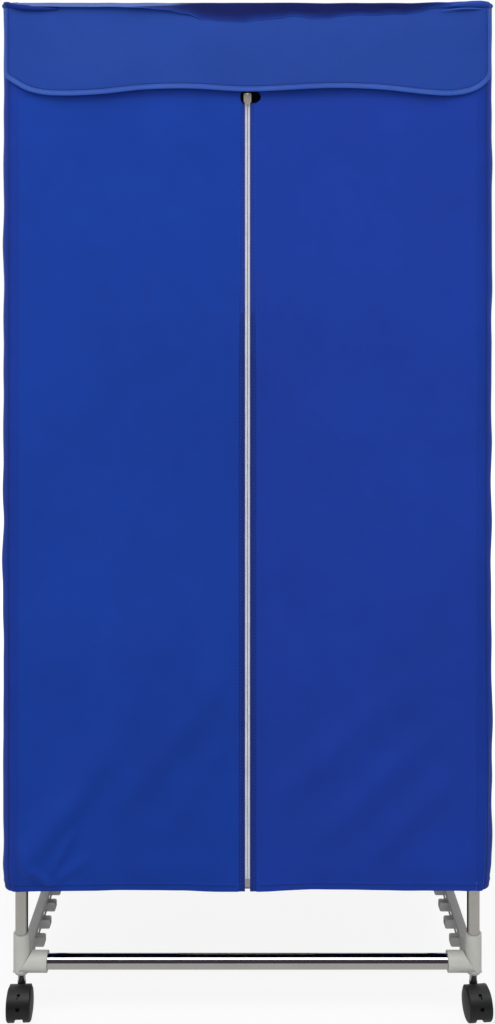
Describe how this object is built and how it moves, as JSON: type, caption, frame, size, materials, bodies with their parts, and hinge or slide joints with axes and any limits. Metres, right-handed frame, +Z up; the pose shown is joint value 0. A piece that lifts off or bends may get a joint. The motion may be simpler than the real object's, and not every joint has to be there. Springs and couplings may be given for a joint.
{
  "type": "portable drying cabinet",
  "caption": "Cloth-covered clothes drying cabinet: zipped fabric cover with a front flap over a tube frame with notched side rails, hanging rods, a fan heater and twin-wheel castors.",
  "frame": {"origin": "on the floor, at the centre of the cabinet's footprint", "axes": "+Z up; -Y is the front, with the zip; +X to the right seen from the front"},
  "size_m": [0.73, 0.5, 1.505],
  "materials": {
    "blue_cover": "smooth coated cloth, slight sheen",
    "chrome_tube": "polished chrome plate",
    "rod_steel": "satin",
    "grey_plastic": "moulded, satin",
    "rail_plastic": "moulded, satin",
    "castor_black": "moulded, semi-gloss",
    "wheel_black": "moulded, satin",
    "castor_steel": "bright plated",
    "zip_white": "nylon coil",
    "zip_metal": "dark nickel plate",
    "heater_white": "moulded, satin",
    "heater_dark": "moulded, matt",
    "motor_metal": "zinc-plated sheet steel",
    "element_metal": "mill finish fins",
    "gland_rubber": "matt",
    "foot_rubber": "matt"
  },
  "bodies": {
    "frame": {"base_corner_front_left": "grey_plastic", "base_corner_front_right": "grey_plastic", "base_corner_rear_left": "grey_plastic", "base_corner_rear_right": "grey_plastic", "mid_corners": "grey_plastic", "top_corners": "grey_plastic", "lower_posts": "chrome_tube", "upper_posts": "chrome_tube", "base_tube_front": "chrome_tube", "base_tube_rear": "chrome_tube", "mid_tubes": "chrome_tube", "top_tubes": "chrome_tube", "base_rail_left": "rail_plastic", "base_rail_right": "rail_plastic", "mid_rail_left": "rail_plastic", "mid_rail_right": "rail_plastic", "top_rail_left": "rail_plastic", "top_rail_right": "rail_plastic", "base_rod_front": "rod_steel", "base_rod_rear": "rod_steel", "castor_stems": "castor_steel", "cover_side_left": "blue_cover", "cover_side_right": "blue_cover", "cover_back": "blue_cover", "cover_top": "blue_cover", "cover_header": "blue_cover"},
    "left_door": {"door_left": "blue_cover", "zip_chain_left": "zip_white"},
    "right_door": {"door_right": "blue_cover", "zip_chain_right": "zip_white"},
    "flap": {"front_flap": "blue_cover"},
    "slider": {"zip_slider": "zip_metal"},
    "pull": {"zip_pull": "zip_metal"},
    "mid_rod_1_body": {"mid_rod_1": "rod_steel"},
    "mid_rod_2_body": {"mid_rod_2": "rod_steel"},
    "mid_rod_3_body": {"mid_rod_3": "rod_steel"},
    "top_rod_1_body": {"top_rod_1": "rod_steel"},
    "top_rod_2_body": {"top_rod_2": "rod_steel"},
    "top_rod_3_body": {"top_rod_3": "rod_steel"},
    "heater": {"heater_shell": "heater_white", "heater_lid": "heater_white", "heater_motor": "motor_metal", "heater_element": "element_metal", "heater_timer": "heater_dark", "heater_gland": "gland_rubber", "heater_feet": "foot_rubber"},
    "fan": {"heater_fan": "heater_dark"},
    "knob": {"heater_knob": "heater_dark"},
    "castor_front_left": {"castor_housing_front_left": "castor_black"},
    "wheel_left_front_left": {"castor_wheel_left_front_left": "wheel_black"},
    "wheel_right_front_left": {"castor_wheel_right_front_left": "wheel_black"},
    "castor_front_right": {"castor_housing_front_right": "castor_black"},
    "wheel_left_front_right": {"castor_wheel_left_front_right": "wheel_black"},
    "wheel_right_front_right": {"castor_wheel_right_front_right": "wheel_black"},
    "castor_rear_left": {"castor_housing_rear_left": "castor_black"},
    "wheel_left_rear_left": {"castor_wheel_left_rear_left": "wheel_black"},
    "wheel_right_rear_left": {"castor_wheel_right_rear_left": "wheel_black"},
    "castor_rear_right": {"castor_housing_rear_right": "castor_black"},
    "wheel_left_rear_right": {"castor_wheel_left_rear_right": "wheel_black"},
    "wheel_right_rear_right": {"castor_wheel_right_rear_right": "wheel_black"}
  },
  "joints": [
    {"name": "left_door_swing", "type": "hinge", "parent": "frame", "child": "left_door", "pos_m": [-0.3378, -0.23065, 0.78], "axis": [0, 0, -1], "range_deg": [0, 110]},
    {"name": "right_door_swing", "type": "hinge", "parent": "frame", "child": "right_door", "pos_m": [0.3378, -0.23065, 0.78], "axis": [0, 0, 1], "range_deg": [0, 110]},
    {"name": "flap_lift", "type": "hinge", "parent": "frame", "child": "flap", "pos_m": [0, -0.23205, 1.5], "axis": [-1, 0, 0], "range_deg": [0, 150]},
    {"name": "zip_run", "type": "slide", "parent": "left_door", "child": "slider", "axis": [0, 0, -1], "range_m": [0, 1.1569]},
    {"name": "pull_flip", "type": "hinge", "parent": "slider", "child": "pull", "pos_m": [0, -0.23555, 1.3675], "axis": [-1, 0, 0], "range_deg": [0, 100]},
    {"name": "mid_rod_1_lift", "type": "slide", "parent": "frame", "child": "mid_rod_1_body", "axis": [0, 0, 1], "range_m": [0, 0.012]},
    {"name": "mid_rod_2_lift", "type": "slide", "parent": "frame", "child": "mid_rod_2_body", "axis": [0, 0, 1], "range_m": [0, 0.012]},
    {"name": "mid_rod_3_lift", "type": "slide", "parent": "frame", "child": "mid_rod_3_body", "axis": [0, 0, 1], "range_m": [0, 0.012]},
    {"name": "top_rod_1_lift", "type": "slide", "parent": "frame", "child": "top_rod_1_body", "axis": [0, 0, 1], "range_m": [0, 0.012]},
    {"name": "top_rod_2_lift", "type": "slide", "parent": "frame", "child": "top_rod_2_body", "axis": [0, 0, 1], "range_m": [0, 0.012]},
    {"name": "top_rod_3_lift", "type": "slide", "parent": "frame", "child": "top_rod_3_body", "axis": [0, 0, 1], "range_m": [0, 0.012]},
    {"name": "heater_lift", "type": "slide", "parent": "frame", "child": "heater", "axis": [0, 0, 1], "range_m": [0, 0.25]},
    {"name": "fan_spin", "type": "hinge", "parent": "heater", "child": "fan", "pos_m": [0, 0.06135, 0.17], "axis": [0, 0, 1], "continuous": true},
    {"name": "knob_turn", "type": "hinge", "parent": "heater", "child": "knob", "pos_m": [0.062, -0.02115, 0.1633], "axis": [0, -1, 0], "range_deg": [0, 300]},
    {"name": "castor_front_left_swivel", "type": "hinge", "parent": "frame", "child": "castor_front_left", "pos_m": [-0.338, -0.20365, 0.045], "axis": [0, 0, 1], "continuous": true},
    {"name": "wheel_left_front_left_roll", "type": "hinge", "parent": "castor_front_left", "child": "wheel_left_front_left", "pos_m": [-0.33695, -0.22362, 0.0235], "axis": [0.9986, 0.0523, 0], "continuous": true},
    {"name": "wheel_right_front_left_roll", "type": "hinge", "parent": "castor_front_left", "child": "wheel_right_front_left", "pos_m": [-0.33695, -0.22362, 0.0235], "axis": [0.9986, 0.0523, 0], "continuous": true},
    {"name": "castor_front_right_swivel", "type": "hinge", "parent": "frame", "child": "castor_front_right", "pos_m": [0.338, -0.20365, 0.045], "axis": [0, 0, 1], "continuous": true},
    {"name": "wheel_left_front_right_roll", "type": "hinge", "parent": "castor_front_right", "child": "wheel_left_front_right", "pos_m": [0.34009, -0.22354, 0.0235], "axis": [0.9945, 0.1045, 0], "continuous": true},
    {"name": "wheel_right_front_right_roll", "type": "hinge", "parent": "castor_front_right", "child": "wheel_right_front_right", "pos_m": [0.34009, -0.22354, 0.0235], "axis": [0.9945, 0.1045, 0], "continuous": true},
    {"name": "castor_rear_left_swivel", "type": "hinge", "parent": "frame", "child": "castor_rear_left", "pos_m": [-0.338, 0.22235, 0.045], "axis": [0, 0, 1], "continuous": true},
    {"name": "wheel_left_rear_left_roll", "type": "hinge", "parent": "castor_rear_left", "child": "wheel_left_rear_left", "pos_m": [-0.33626, 0.20243, 0.0235], "axis": [0.9962, 0.0872, 0], "continuous": true},
    {"name": "wheel_right_rear_left_roll", "type": "hinge", "parent": "castor_rear_left", "child": "wheel_right_rear_left", "pos_m": [-0.33626, 0.20243, 0.0235], "axis": [0.9962, 0.0872, 0], "continuous": true},
    {"name": "castor_rear_right_swivel", "type": "hinge", "parent": "frame", "child": "castor_rear_right", "pos_m": [0.338, 0.22235, 0.045], "axis": [0, 0, 1], "continuous": true},
    {"name": "wheel_left_rear_right_roll", "type": "hinge", "parent": "castor_rear_right", "child": "wheel_left_rear_right", "pos_m": [0.3366, 0.2024, 0.0235], "axis": [0.9976, -0.0698, 0], "continuous": true},
    {"name": "wheel_right_rear_right_roll", "type": "hinge", "parent": "castor_rear_right", "child": "wheel_right_rear_right", "pos_m": [0.3366, 0.2024, 0.0235], "axis": [0.9976, -0.0698, 0], "continuous": true}
  ]
}
